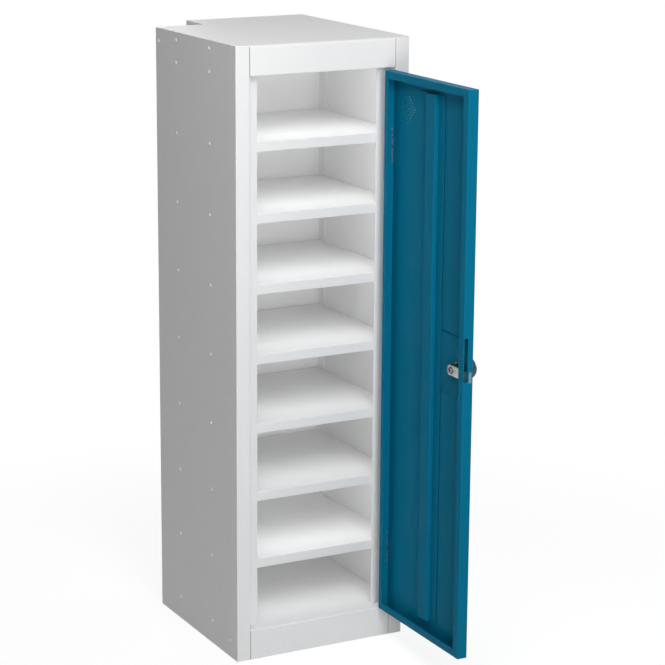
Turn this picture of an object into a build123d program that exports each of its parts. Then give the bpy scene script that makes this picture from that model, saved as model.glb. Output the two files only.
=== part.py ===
from build123d import *
import os

# Tablet locker: a tall steel cabinet with eight open shelves behind one full height door.
# Millimetres. X is across the front, Y runs from the front face to the back, Z is up.
# The origin is on the floor, at the middle of the cabinet's front face.
# Every sheet metal piece is drawn as the section that its folds make, then extruded.
# The door and its lock are drawn shut and then swung open about the hinge pins.

# Overall sizes
CABINET_WIDTH = 305.0
CABINET_HEIGHT = 1000.0
CABINET_DEPTH = 300.0
REAR_BOX_DEPTH = 70.0
REAR_BOX_INSET = 86.5
SHEET = 1.0
FOLD_RADIUS = 1.5
TIGHT_FOLD_RADIUS = 1.0
RELIEF = 0.5

# Front frame
STILE_WIDTH = 24.0
REBATE_DEPTH = 21.0
STOP_WIDTH = 22.5
STOP_FLOOR_GAP = 1.0
HEADER_HEIGHT = 47.5
HEADER_RADIUS = 5.0
HEADER_RETURN = 20.0
HEADER_UPTURN = 12.0
PLINTH_HEIGHT = 50.0
PLINTH_RETURN = 20.0

# Shelves, ceiling, floor, and the flanges that carry them
SHELF_COUNT = 7
SHELF_PITCH = 114.0
TOP_SHELF_HEIGHT = 846.5
SHELF_FRONT = 23.0
SHELF_REAR = 297.0
SHELF_LIP = 16.0
SHELF_HEM = 8.0
SHELF_REAR_LIP = 14.0
FLANGE_DROP = 18.0
FLANGE_FRONT = 30.0
FLANGE_REAR = 270.0
FLOOR_FLANGE_DROP = 40.0
FLOOR_FLANGE_FRONT = 24.0
TOP_FLANGE_DROP = 25.0
BACK_FLANGE = 24.0
REAR_BOX_FLANGE = 18.0
CAP_RIM = 12.0
CAP_GAP = 0.8
CAP_SLOT_X = 95.5
CAP_SLOT_WIDTH = 13.0
CAP_SLOT_DEPTH = 3.0

# Rivets
RIVET_HEAD = 6.2
RIVET_SIDES = 12
RIVET_HEIGHT = 1.2
RIVET_TAPER = 40.0
RIVET_DROP = 10.0
RIVET_COLUMNS = (96.0, 221.0)
TOP_RIVET_HEIGHT = 987.4
REAR_RIVET = (289.0, 979.0)
PLINTH_RIVET = (28.0, 28.0)

# Door
OPEN_ANGLE = 90.0
DOOR_GAP = 2.0
DOOR_BOTTOM = 51.5
DOOR_TOP = 949.5
DOOR_THICKNESS = 18.0
FREE_EDGE_LIP = 14.0
HINGE_EDGE_LIP = 11.0
END_LIP = 12.0
VENT_CENTRE = (81.8, 894.0)
VENT_HOLE = 2.4
HOLE_SIDES = 8
VENT_PITCH = 6.4
VENT_ROW = 6
STIFFENER_WIDTH = 64.0
STIFFENER_CROWN = 28.0
STIFFENER_HEIGHT = 8.0
STIFFENER_BOTTOM = 75.0
STIFFENER_TOP = 928.0

# Hinges
HINGE_HEIGHTS = {"upper": 829.0, "lower": 156.5}
HINGE_LENGTH = 57.0
LEAF = 1.2
LEAF_DEPTH = 14.0
LEAF_GAP = 0.1
PIVOT_STANDOFF = 3.4
KNUCKLE_RADIUS = 3.2
KNUCKLE_GAP = 0.3
PIN_RADIUS = 1.9
PIN_CLEARANCE = 0.05
PIN_END = 1.0
WELD_SLOT_FRONT = 2.0
WELD_SLOT_WIDTH = 2.0
WELD_SLOT_BELOW = 28.0
WELD_SLOT_ABOVE = 19.0
WELD_HOLE_ABOVE = 26.0
WELD_HOLE = 3.5

# Lock, measured from its own axis and from the door's front face
LOCK_X = -88.2
LOCK_Z = 512.0
BEZEL_RADIUS = 15.5
BEZEL_THICKNESS = 3.0
BARREL_RADIUS = 9.5
BARREL_FLATS = 16.0
BARREL_LENGTH = 13.9
NUT_ACROSS_FLATS = 24.0
NUT_THICKNESS = 4.0
SPINDLE_RADIUS = 6.0
SPINDLE_CLEARANCE = 0.05
KNOB_RADIUS = 16.0
KNOB_SIDES = 24
KNOB_LENGTH = 20.2
KNOB_CHAMFER = 4.5
KNOB_TAPER_LENGTH = 15.2
KNOB_TAPER_DEPTH = 3.0
KNOB_GAP = 0.3
KNOB_RECESS_RADIUS = 9.0
KNOB_RECESS_DEPTH = 1.5
KEYWAY_WIDTH = 1.8
KEYWAY_HEIGHT = 9.0
KEYWAY_DEPTH = 6.0
TANG = 8.0
CAM_START = 14.0
CAM_THICKNESS = 2.6
CAM_WIDTH = 16.0
CAM_REACH = 42.2
CAM_TAIL = 10.0
CAM_TIP_RADIUS = 2.0
CAM_TAIL_RADIUS = 6.0
SCREW_HEAD_RADIUS = 5.0
SCREW_HEAD_HEIGHT = 2.6
SCREW_RADIUS = 2.0
SCREW_LENGTH = 6.0
SCREW_SOCKET_RADIUS = 2.4
SCREW_SOCKET_DEPTH = 1.6
CAM_SLOT_FRONT = 10.0
CAM_SLOT_REAR = 16.8
CAM_SLOT_BOTTOM = 502.0
CAM_SLOT_TOP = 570.0
KEEPER_FRONT = 12.0
KEEPER_REAR = 18.5
KEEPER_TOP = 545.0

# Places worked out from the sizes above
HALF_WIDTH = CABINET_WIDTH / 2
INNER_HALF_WIDTH = HALF_WIDTH - SHEET
TRAY_HALF_WIDTH = INNER_HALF_WIDTH - SHEET - RELIEF
STILE_EDGE = HALF_WIDTH - STILE_WIDTH
STOP_EDGE = STILE_EDGE - STOP_WIDTH
HEADER_BOTTOM = CABINET_HEIGHT - HEADER_HEIGHT
CEILING_HEIGHT = TOP_SHELF_HEIGHT + SHELF_PITCH
CEILING_FRONT = SHELF_FRONT + SHEET
REAR_FACE = CABINET_DEPTH + REAR_BOX_DEPTH
REAR_BOX_LEFT = REAR_BOX_INSET - HALF_WIDTH
HINGE_X = STILE_EDGE - LEAF - LEAF_GAP / 2
DOOR_LEFT = DOOR_GAP - STILE_EDGE
DOOR_RIGHT = STILE_EDGE - 2 * LEAF - LEAF_GAP
DOOR_WIDTH = DOOR_RIGHT - DOOR_LEFT
DOOR_HEIGHT = DOOR_TOP - DOOR_BOTTOM
DOOR_CENTRE = ((DOOR_LEFT + DOOR_RIGHT) / 2, (DOOR_BOTTOM + DOOR_TOP) / 2)
HINGE_AXIS = Axis((HINGE_X, -PIVOT_STANDOFF, 0), (0, 0, 1))
LOCK_FACE = Plane((LOCK_X, 0, LOCK_Z), x_dir=(1, 0, 0), z_dir=(0, 1, 0))
LOW_CORNER = (Align.MIN, Align.MIN)


def sheet_section(plane, points, radii, side):
    """The section of a folded sheet: one face of it, rounded at the folds, and its thickness."""
    with BuildSketch(plane) as section:
        with BuildLine():
            FilletPolyline(*points, radius=radii)
            offset(amount=SHEET, side=side)
        make_face()
    return section.sketch


def side_flanges(height, drop, front=FLANGE_FRONT):
    """The strip of a tray's sheet that turns down into a flange against each side panel."""
    edge = INNER_HALF_WIDTH
    points = [(-edge, height - drop), (-edge, height), (edge, height), (edge, height - drop)]
    return extrude(
        sheet_section(Plane.XZ.offset(-FLANGE_REAR), points, TIGHT_FOLD_RADIUS, Side.RIGHT),
        amount=FLANGE_REAR - front,
    )


# Side panel: one sheet folded round into the stile, the rebate and the door stop
with BuildPart() as plain_side_panel:
    extrude(
        sheet_section(
            Plane.XY,
            [
                (-HALF_WIDTH, CABINET_DEPTH),
                (-HALF_WIDTH, 0),
                (-STILE_EDGE, 0),
                (-STILE_EDGE, REBATE_DEPTH),
                (-STOP_EDGE, REBATE_DEPTH),
            ],
            [FOLD_RADIUS, FOLD_RADIUS, FOLD_RADIUS - SHEET],
            Side.LEFT,
        ),
        amount=CABINET_HEIGHT,
    )
    # the stop ends just above the floor of the lowest compartment
    with BuildSketch(Plane.XY):
        with Locations((-STILE_EDGE, REBATE_DEPTH - SHEET)):
            Rectangle(STOP_WIDTH + SHEET, 3 * SHEET, align=LOW_CORNER)
    extrude(amount=PLINTH_HEIGHT + STOP_FLOOR_GAP, mode=Mode.SUBTRACT)
    # the rebate and the stop end under the top panel
    with BuildSketch(Plane.XY.offset(CABINET_HEIGHT - SHEET)):
        with Locations((-INNER_HALF_WIDTH, SHEET)):
            Rectangle(HALF_WIDTH, CABINET_DEPTH, align=LOW_CORNER)
    extrude(amount=SHEET, mode=Mode.SUBTRACT)

with BuildPart() as right_side_panel:
    mirror(plain_side_panel.part, about=Plane.YZ)

with BuildPart() as left_side_panel:
    add(plain_side_panel.part)
    # keeper slot, which the lock's cam turns into
    with BuildSketch(Plane.YZ.offset(-STILE_EDGE - 2 * SHEET)):
        with Locations((KEEPER_FRONT, CAM_SLOT_BOTTOM)):
            Rectangle(
                KEEPER_REAR - KEEPER_FRONT, KEEPER_TOP - CAM_SLOT_BOTTOM, align=LOW_CORNER
            )
    extrude(amount=3 * SHEET, mode=Mode.SUBTRACT)

with BuildPart() as back_panel:
    extrude(
        sheet_section(
            Plane.XY,
            [
                (-INNER_HALF_WIDTH, CABINET_DEPTH - BACK_FLANGE),
                (-INNER_HALF_WIDTH, CABINET_DEPTH),
                (INNER_HALF_WIDTH, CABINET_DEPTH),
                (INNER_HALF_WIDTH, CABINET_DEPTH - BACK_FLANGE),
            ],
            FOLD_RADIUS,
            Side.RIGHT,
        ),
        amount=CABINET_HEIGHT - SHEET,
    )

# Top panel: the top folds down into the header over the door
with BuildPart() as top_panel:
    extrude(
        sheet_section(
            Plane.YZ,
            [
                (CABINET_DEPTH, CABINET_HEIGHT),
                (0, CABINET_HEIGHT),
                (0, HEADER_BOTTOM),
                (HEADER_RETURN, HEADER_BOTTOM),
                (HEADER_RETURN, HEADER_BOTTOM + HEADER_UPTURN),
            ],
            [HEADER_RADIUS, FOLD_RADIUS, FOLD_RADIUS],
            Side.LEFT,
        ),
        amount=STILE_EDGE,
        both=True,
    )
    side_flanges(CABINET_HEIGHT, TOP_FLANGE_DROP)
    # the corners of the top lie on the stiles and on the back panel's flanges
    with BuildSketch(Plane.XY.offset(CABINET_HEIGHT - SHEET)):
        with Locations((0, SHEET), (0, FLANGE_REAR)):
            Rectangle(
                2 * INNER_HALF_WIDTH, CABINET_DEPTH - FLANGE_REAR, align=(Align.CENTER, Align.MIN)
            )
        with Locations((0, SHEET)):
            Rectangle(
                2 * STILE_EDGE, HEADER_RADIUS, align=(Align.CENTER, Align.MIN), mode=Mode.SUBTRACT
            )
    extrude(amount=SHEET)

# Ceiling of the top compartment: a tray whose front edge turns up behind the header
with BuildPart() as ceiling_panel:
    extrude(
        sheet_section(
            Plane.YZ,
            [
                (SHELF_REAR, CEILING_HEIGHT - SHELF_REAR_LIP),
                (SHELF_REAR, CEILING_HEIGHT),
                (CEILING_FRONT, CEILING_HEIGHT),
                (CEILING_FRONT, CEILING_HEIGHT + SHELF_REAR_LIP),
            ],
            [TIGHT_FOLD_RADIUS, TIGHT_FOLD_RADIUS - SHEET],
            Side.LEFT,
        ),
        amount=TRAY_HALF_WIDTH,
        both=True,
    )
    side_flanges(CEILING_HEIGHT, FLANGE_DROP)

# Base panel: the floor of the lowest compartment folds down into the plinth
with BuildPart() as base_panel:
    extrude(
        sheet_section(
            Plane.YZ,
            [
                (SHELF_REAR, PLINTH_HEIGHT - SHELF_REAR_LIP),
                (SHELF_REAR, PLINTH_HEIGHT),
                (0, PLINTH_HEIGHT),
                (0, 0),
                (PLINTH_RETURN, 0),
            ],
            [FOLD_RADIUS, FOLD_RADIUS, 0],
            Side.LEFT,
        ),
        amount=STILE_EDGE,
        both=True,
    )
    side_flanges(PLINTH_HEIGHT, FLOOR_FLANGE_DROP, FLOOR_FLANGE_FRONT)
    # behind the flanges the floor narrows, to pass the back panel's flanges
    with BuildSketch(Plane.XY.offset(PLINTH_HEIGHT - SHEET)):
        with Locations((0, FLANGE_REAR)):
            Rectangle(
                2 * TRAY_HALF_WIDTH,
                SHELF_REAR - FOLD_RADIUS - FLANGE_REAR,
                align=(Align.CENTER, Align.MIN),
            )
    extrude(amount=SHEET)

# Shelves: trays with a hemmed front lip, held by rivets through their side flanges
shelves = {}
for number in range(SHELF_COUNT):
    shelf_height = TOP_SHELF_HEIGHT - SHELF_PITCH * number
    with BuildPart() as shelf:
        extrude(
            sheet_section(
                Plane.YZ,
                [
                    (SHELF_REAR, shelf_height - SHELF_REAR_LIP),
                    (SHELF_REAR, shelf_height),
                    (SHELF_FRONT, shelf_height),
                    (SHELF_FRONT, shelf_height - SHELF_LIP),
                    (SHELF_FRONT + SHELF_HEM, shelf_height - SHELF_LIP),
                ],
                TIGHT_FOLD_RADIUS,
                Side.LEFT,
            ),
            amount=TRAY_HALF_WIDTH,
            both=True,
        )
        side_flanges(shelf_height, FLANGE_DROP)
    shelves[f"shelf_{number + 1}"] = shelf

# Rear box: a channel on the cabinet's back, closed by a cap at each end
with BuildPart() as rear_box_shell:
    extrude(
        sheet_section(
            Plane.XY.offset(SHEET),
            [
                (REAR_BOX_LEFT + REAR_BOX_FLANGE, CABINET_DEPTH),
                (REAR_BOX_LEFT, CABINET_DEPTH),
                (REAR_BOX_LEFT, REAR_FACE),
                (HALF_WIDTH, REAR_FACE),
                (HALF_WIDTH, CABINET_DEPTH),
                (HALF_WIDTH - REAR_BOX_FLANGE, CABINET_DEPTH),
            ],
            FOLD_RADIUS,
            Side.RIGHT,
        ),
        amount=CABINET_HEIGHT - 2 * SHEET,
    )


def rear_box_cap(plate_height, rim_height):
    """An end of the rear box: its plate, and a rim that fits inside the shell."""
    width = HALF_WIDTH - REAR_BOX_LEFT
    centre = (REAR_BOX_LEFT + width / 2, CABINET_DEPTH + REAR_BOX_DEPTH / 2)
    with BuildPart() as cap:
        # the plate stops just short of the cabinet's back, which leaves a fine joint line
        with BuildSketch(Plane.XY.offset(plate_height)):
            with Locations((centre[0], REAR_FACE)):
                Rectangle(width, REAR_BOX_DEPTH - CAP_GAP, align=(Align.CENTER, Align.MAX))
        extrude(amount=SHEET)
        with BuildSketch(Plane.XY.offset(rim_height)):
            with Locations(centre):
                RectangleRounded(width - 2 * SHEET, REAR_BOX_DEPTH - 2 * SHEET, FOLD_RADIUS)
                Rectangle(width - 4 * SHEET, REAR_BOX_DEPTH - 4 * SHEET, mode=Mode.SUBTRACT)
        extrude(amount=CAP_RIM)
        # a short slot at the joint with the cabinet
        with BuildSketch(Plane.XY.offset(min(plate_height, rim_height))):
            with Locations((CAP_SLOT_X, CABINET_DEPTH)):
                Rectangle(CAP_SLOT_WIDTH, CAP_SLOT_DEPTH, align=(Align.CENTER, Align.MIN))
        extrude(amount=SHEET + CAP_RIM, mode=Mode.SUBTRACT)
    return cap


rear_box_top = rear_box_cap(CABINET_HEIGHT - SHEET, CABINET_HEIGHT - SHEET - CAP_RIM)
rear_box_bottom = rear_box_cap(0, SHEET)

# Rivet heads of one side: two to each tray, one at the back and one at the plinth
with BuildPart() as left_rivets:
    rivet_places = [REAR_RIVET, PLINTH_RIVET]
    for column in RIVET_COLUMNS:
        rivet_places.append((column, TOP_RIVET_HEIGHT))
        for number in range(SHELF_COUNT + 2):
            rivet_places.append((column, CEILING_HEIGHT - SHELF_PITCH * number - RIVET_DROP))
    with BuildSketch(Plane.YZ.offset(-HALF_WIDTH)):
        with Locations(*rivet_places):
            RegularPolygon(RIVET_HEAD / 2, RIVET_SIDES)
    extrude(amount=-RIVET_HEIGHT, taper=RIVET_TAPER)

with BuildPart() as right_rivets:
    mirror(left_rivets.part, about=Plane.YZ)

# Door panel, drawn shut: a shallow pan with lips turned in on all four edges
with BuildPart() as door_panel:
    with BuildSketch(Plane.XZ):
        with Locations(DOOR_CENTRE):
            Rectangle(DOOR_WIDTH, DOOR_HEIGHT)
    extrude(amount=-DOOR_THICKNESS)
    fillet(door_panel.faces().filter_by(Axis.Y).edges(), FOLD_RADIUS)
    with BuildSketch(Plane.XZ.offset(-SHEET)):
        with Locations(DOOR_CENTRE):
            Rectangle(DOOR_WIDTH - 2 * SHEET, DOOR_HEIGHT - 2 * SHEET)
    extrude(amount=2 * SHEET - DOOR_THICKNESS, mode=Mode.SUBTRACT)
    with BuildSketch(Plane.XZ.offset(SHEET - DOOR_THICKNESS)):
        with Locations((DOOR_LEFT + FREE_EDGE_LIP, DOOR_BOTTOM + END_LIP)):
            Rectangle(
                DOOR_WIDTH - FREE_EDGE_LIP - HINGE_EDGE_LIP,
                DOOR_HEIGHT - 2 * END_LIP,
                align=LOW_CORNER,
            )
    extrude(amount=-SHEET, mode=Mode.SUBTRACT)
    # vents: a square grid of holes, turned to stand on its corner
    with BuildSketch(Plane.XZ):
        with Locations(Location((*VENT_CENTRE, 0), (0, 0, 45))):
            with GridLocations(VENT_PITCH, VENT_PITCH, VENT_ROW, VENT_ROW):
                RegularPolygon(VENT_HOLE / 2, HOLE_SIDES)
    extrude(amount=-SHEET, mode=Mode.SUBTRACT)
    # the flatted hole that keeps the lock's barrel from turning
    with BuildSketch(LOCK_FACE):
        Circle(BARREL_RADIUS)
        Rectangle(2 * BARREL_RADIUS, BARREL_FLATS, mode=Mode.INTERSECT)
    extrude(amount=SHEET, mode=Mode.SUBTRACT)
    # slot in the free edge for the cam
    with BuildSketch(Plane.YZ.offset(DOOR_LEFT)):
        with Locations((CAM_SLOT_FRONT, CAM_SLOT_BOTTOM)):
            Rectangle(
                CAM_SLOT_REAR - CAM_SLOT_FRONT, CAM_SLOT_TOP - CAM_SLOT_BOTTOM, align=LOW_CORNER
            )
    extrude(amount=SHEET, mode=Mode.SUBTRACT)
    # slots and holes in the hinge edge, through which the leaves are welded
    with BuildSketch(Plane.YZ.offset(DOOR_RIGHT - SHEET)):
        for middle in HINGE_HEIGHTS.values():
            with Locations((WELD_SLOT_FRONT, middle - WELD_SLOT_BELOW)):
                Rectangle(WELD_SLOT_WIDTH, WELD_SLOT_BELOW + WELD_SLOT_ABOVE, align=LOW_CORNER)
            with Locations((WELD_SLOT_FRONT + WELD_HOLE / 2, middle + WELD_HOLE_ABOVE)):
                RegularPolygon(WELD_HOLE / 2, HOLE_SIDES)
    extrude(amount=SHEET, mode=Mode.SUBTRACT)

# Door stiffener: a hat section up the middle of the door's inside
with BuildPart() as door_stiffener:
    crown = STIFFENER_CROWN / 2
    foot = STIFFENER_WIDTH / 2
    extrude(
        sheet_section(
            Plane.XY.offset(STIFFENER_BOTTOM),
            [
                (DOOR_CENTRE[0] - foot, 2 * SHEET),
                (DOOR_CENTRE[0] - crown, 2 * SHEET),
                (DOOR_CENTRE[0] - crown, SHEET + STIFFENER_HEIGHT),
                (DOOR_CENTRE[0] + crown, SHEET + STIFFENER_HEIGHT),
                (DOOR_CENTRE[0] + crown, 2 * SHEET),
                (DOOR_CENTRE[0] + foot, 2 * SHEET),
            ],
            [FOLD_RADIUS - SHEET, FOLD_RADIUS, FOLD_RADIUS, FOLD_RADIUS - SHEET],
            Side.RIGHT,
        ),
        amount=STIFFENER_TOP - STIFFENER_BOTTOM,
    )


def hinge_leaf(leaf_left, middle, knuckles, bore_radius):
    """A hinge leaf, drawn shut: its plate, and its own knuckles rolled round the pin."""
    with BuildPart() as leaf:
        with BuildSketch(Plane.XY.offset(middle - HINGE_LENGTH / 2)):
            with Locations((leaf_left, LEAF_GAP)):
                Rectangle(LEAF, LEAF_DEPTH, align=LOW_CORNER)
        extrude(amount=HINGE_LENGTH)
        for bottom, top in knuckles:
            with BuildSketch(Plane.XY.offset(middle + bottom)):
                with Locations((leaf_left, -PIVOT_STANDOFF)):
                    Rectangle(LEAF, PIVOT_STANDOFF + LEAF_GAP, align=LOW_CORNER)
                with Locations((HINGE_X, -PIVOT_STANDOFF)):
                    Circle(KNUCKLE_RADIUS)
                    Circle(bore_radius, mode=Mode.SUBTRACT)
            extrude(amount=top - bottom)
    return leaf


def hinge_pin(middle):
    """A hinge pin, held tight in the frame leaf's knuckles and proud of them at each end."""
    with BuildPart() as pin:
        with BuildSketch(Plane.XY.offset(middle)):
            with Locations((HINGE_X, -PIVOT_STANDOFF)):
                Circle(PIN_RADIUS)
        extrude(amount=HINGE_LENGTH / 2 + PIN_END, both=True)
    return pin


# Hinges: the frame leaf has the outer two knuckles, the door leaf the one between them
half_hinge = HINGE_LENGTH / 2
half_knuckle = (HINGE_LENGTH - 2 * KNUCKLE_GAP) / 6
frame_knuckles = [
    (-half_hinge, -half_knuckle - KNUCKLE_GAP),
    (half_knuckle + KNUCKLE_GAP, half_hinge),
]
door_knuckles = [(-half_knuckle, half_knuckle)]
frame_hinge_pieces = {}
door_leaves = {}
for name, middle in HINGE_HEIGHTS.items():
    frame_leaf = hinge_leaf(STILE_EDGE - LEAF, middle, frame_knuckles, PIN_RADIUS)
    door_leaf = hinge_leaf(DOOR_RIGHT, middle, door_knuckles, PIN_RADIUS + PIN_CLEARANCE)
    frame_hinge_pieces[f"{name}_hinge_frame_leaf"] = frame_leaf
    frame_hinge_pieces[f"{name}_hinge_pin"] = hinge_pin(middle)
    door_leaves[f"{name}_hinge_door_leaf"] = door_leaf

# Lock, drawn shut: the barrel stands through the door, with its flange outside
with BuildPart() as lock_barrel:
    with BuildSketch(LOCK_FACE.offset(-BEZEL_THICKNESS)):
        Circle(BEZEL_RADIUS)
    extrude(amount=BEZEL_THICKNESS)
    with BuildSketch(LOCK_FACE):
        Circle(BARREL_RADIUS)
        Rectangle(2 * BARREL_RADIUS, BARREL_FLATS, mode=Mode.INTERSECT)
    extrude(amount=BARREL_LENGTH)
    with BuildSketch(LOCK_FACE.offset(-BEZEL_THICKNESS)):
        Circle(SPINDLE_RADIUS + SPINDLE_CLEARANCE)
    extrude(amount=BEZEL_THICKNESS + BARREL_LENGTH, mode=Mode.SUBTRACT)

with BuildPart() as lock_nut:
    with BuildSketch(LOCK_FACE.offset(SHEET)):
        RegularPolygon(NUT_ACROSS_FLATS / 2, 6, major_radius=False)
        Circle(BARREL_RADIUS, mode=Mode.SUBTRACT)
    extrude(amount=NUT_THICKNESS)

# Knob: a tapered handle with flats round it for grip, and the spindle that it turns
with BuildPart() as lock_knob:
    knob_rear = LOCK_FACE.offset(-BEZEL_THICKNESS - KNOB_GAP)
    with BuildSketch(knob_rear):
        RegularPolygon(KNOB_RADIUS, KNOB_SIDES)
    extrude(amount=-KNOB_LENGTH)
    knob_front_face = lock_knob.faces().sort_by(Axis.Y)[0]
    chamfer(knob_front_face.edges(), KNOB_CHAMFER)
    knob_rear_face = lock_knob.faces().sort_by(Axis.Y)[-1]
    chamfer(
        knob_rear_face.edges(),
        length=KNOB_TAPER_DEPTH,
        length2=KNOB_TAPER_LENGTH,
        reference=knob_rear_face,
    )
    with BuildSketch(knob_rear.offset(-KNOB_LENGTH)):
        RegularPolygon(KNOB_RECESS_RADIUS, KNOB_SIDES)
    extrude(amount=KNOB_RECESS_DEPTH, mode=Mode.SUBTRACT)
    with BuildSketch(knob_rear.offset(KNOB_RECESS_DEPTH - KNOB_LENGTH)):
        Rectangle(KEYWAY_WIDTH, KEYWAY_HEIGHT)
    extrude(amount=KEYWAY_DEPTH, mode=Mode.SUBTRACT)
    # the spindle is squared at its end to drive the cam, and bored for the cam's screw
    with BuildSketch(knob_rear):
        Circle(SPINDLE_RADIUS)
    extrude(amount=CAM_START + BEZEL_THICKNESS + KNOB_GAP)
    with BuildSketch(LOCK_FACE.offset(CAM_START)):
        Rectangle(TANG, TANG)
    extrude(amount=CAM_THICKNESS)
    with BuildSketch(LOCK_FACE.offset(CAM_START + CAM_THICKNESS)):
        Circle(SCREW_RADIUS)
    extrude(amount=-SCREW_LENGTH, mode=Mode.SUBTRACT)

with BuildPart() as lock_cam:
    with BuildSketch(LOCK_FACE.offset(CAM_START)) as cam_outline:
        with Locations(((CAM_TAIL - CAM_REACH) / 2, 0)):
            Rectangle(CAM_TAIL + CAM_REACH, CAM_WIDTH)
        fillet(cam_outline.vertices().group_by(Axis.X)[0], CAM_TIP_RADIUS)
        fillet(cam_outline.vertices().group_by(Axis.X)[-1], CAM_TAIL_RADIUS)
        Rectangle(TANG, TANG, mode=Mode.SUBTRACT)
    extrude(amount=CAM_THICKNESS)

with BuildPart() as cam_screw:
    with BuildSketch(LOCK_FACE.offset(CAM_START + CAM_THICKNESS)):
        Circle(SCREW_RADIUS)
    extrude(amount=-SCREW_LENGTH)
    with BuildSketch(LOCK_FACE.offset(CAM_START + CAM_THICKNESS)):
        Circle(SCREW_HEAD_RADIUS)
    extrude(amount=SCREW_HEAD_HEIGHT)
    with BuildSketch(LOCK_FACE.offset(CAM_START + CAM_THICKNESS + SCREW_HEAD_HEIGHT)):
        RegularPolygon(SCREW_SOCKET_RADIUS, 6)
    extrude(amount=-SCREW_SOCKET_DEPTH, mode=Mode.SUBTRACT)

cabinet_pieces = {
    "left_side_panel": left_side_panel,
    "right_side_panel": right_side_panel,
    "back_panel": back_panel,
    "top_panel": top_panel,
    "ceiling_panel": ceiling_panel,
    "base_panel": base_panel,
    **shelves,
    "rear_box_shell": rear_box_shell,
    "rear_box_top": rear_box_top,
    "rear_box_bottom": rear_box_bottom,
    "left_rivets": left_rivets,
    "right_rivets": right_rivets,
    **frame_hinge_pieces,
}
door_pieces = {
    "door_panel": door_panel,
    "door_stiffener": door_stiffener,
    **door_leaves,
    "lock_barrel": lock_barrel,
    "lock_nut": lock_nut,
    "lock_knob": lock_knob,
    "lock_cam": lock_cam,
    "cam_screw": cam_screw,
}

# The door and all that it carries swing open about the hinge pins
for piece in door_pieces.values():
    piece.part = piece.part.rotate(HINGE_AXIS, OPEN_ANGLE)

os.makedirs("parts", exist_ok=True)
for name, piece in {**cabinet_pieces, **door_pieces}.items():
    piece.part.label = name
    export_step(piece.part, f"parts/{name}.step")
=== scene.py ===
"""Dresses the tablet locker: its finishes, rivets, hinge pins and cam lock, and its studio."""

from __future__ import annotations

import logging
import math
from contextlib import contextmanager
from dataclasses import asdict, dataclass, field
from enum import Enum
from typing import Callable, Iterator, Union

import bmesh
import bpy
from mathutils import Matrix, Vector

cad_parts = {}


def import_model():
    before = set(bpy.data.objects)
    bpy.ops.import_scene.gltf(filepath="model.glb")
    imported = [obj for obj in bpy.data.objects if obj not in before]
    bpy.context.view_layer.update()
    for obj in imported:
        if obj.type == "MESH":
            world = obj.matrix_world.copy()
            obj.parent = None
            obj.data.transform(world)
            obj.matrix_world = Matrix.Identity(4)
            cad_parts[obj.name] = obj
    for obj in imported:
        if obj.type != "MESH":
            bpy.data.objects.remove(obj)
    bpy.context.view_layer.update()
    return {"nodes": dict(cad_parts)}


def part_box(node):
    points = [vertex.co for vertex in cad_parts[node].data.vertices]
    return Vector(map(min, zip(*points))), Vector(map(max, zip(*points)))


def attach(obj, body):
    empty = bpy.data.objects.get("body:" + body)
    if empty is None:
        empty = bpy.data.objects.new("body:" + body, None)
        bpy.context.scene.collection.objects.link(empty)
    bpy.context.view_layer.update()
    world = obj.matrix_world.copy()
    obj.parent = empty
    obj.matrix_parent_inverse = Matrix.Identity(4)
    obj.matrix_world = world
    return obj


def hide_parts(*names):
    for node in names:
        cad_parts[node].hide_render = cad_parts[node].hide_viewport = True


LOG = logging.getLogger("tablet_locker")
MM = 0.001
TOUCHING = 0.01 * MM
DOME_CREASE = 50.0
Colour = tuple[float, float, float]
Point = tuple[float, float, float]
Corners = tuple[Point, Point]
Profile = tuple[tuple[float, float], ...]
Steps = list[tuple[float, float]]
FaceTest = Callable[[Vector, Vector], bool]
Input = Union["Wire", bpy.types.NodeSocket, float, tuple]


class Slot(Enum):
    """The finishes that the part's record names."""

    WHITE = "white_coat"
    BLUE = "blue_coat"
    ZINC = "zinc_steel"
    CHROME = "chrome"


class Body(Enum):
    """The bodies that pieces ride on."""

    CABINET = "cabinet"
    DOOR = "door"
    LOCK = "lock"


class Wire:
    """A number on its way through a shader graph. Arithmetic on it adds Math nodes."""

    def __init__(self, graph: Graph, socket: bpy.types.NodeSocket) -> None:
        """Keeps the graph and the output socket that carries the number."""
        self.graph = graph
        self.socket = socket

    def _math(self, operation: str, first: Input, second: Input) -> Wire:
        """Adds one Math node.

        Args:
            operation: The node's operation.
            first: Its first input.
            second: Its second input.

        Returns:
            The result.
        """
        return self.graph.wire(
            "ShaderNodeMath", {"operation": operation}, {0: first, 1: second}
        )

    def __add__(self, other: Input) -> Wire:
        """Adds a number or a wire."""
        return self._math("ADD", self, other)

    def __radd__(self, other: Input) -> Wire:
        """Adds this wire to a number."""
        return self._math("ADD", other, self)

    def __sub__(self, other: Input) -> Wire:
        """Takes a number or a wire away."""
        return self._math("SUBTRACT", self, other)

    def __rsub__(self, other: Input) -> Wire:
        """Takes this wire away from a number."""
        return self._math("SUBTRACT", other, self)

    def __mul__(self, other: Input) -> Wire:
        """Multiplies by a number or a wire."""
        return self._math("MULTIPLY", self, other)

    def __rmul__(self, other: Input) -> Wire:
        """Multiplies a number by this wire."""
        return self._math("MULTIPLY", other, self)

    def at_most(self, other: Input) -> Wire:
        """Gives the smaller of this and another value."""
        return self._math("MINIMUM", self, other)

    def ramp(self, low: float, high: float) -> Wire:
        """Turns the wire into a smooth step.

        Args:
            low: The value that gives 0.
            high: The value that gives 1.

        Returns:
            A number from 0 to 1.
        """
        settings = {"interpolation_type": "SMOOTHSTEP"}
        limits = {"Value": self, "From Min": low, "From Max": high}
        return self.graph.wire("ShaderNodeMapRange", settings, limits, "Result")


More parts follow.
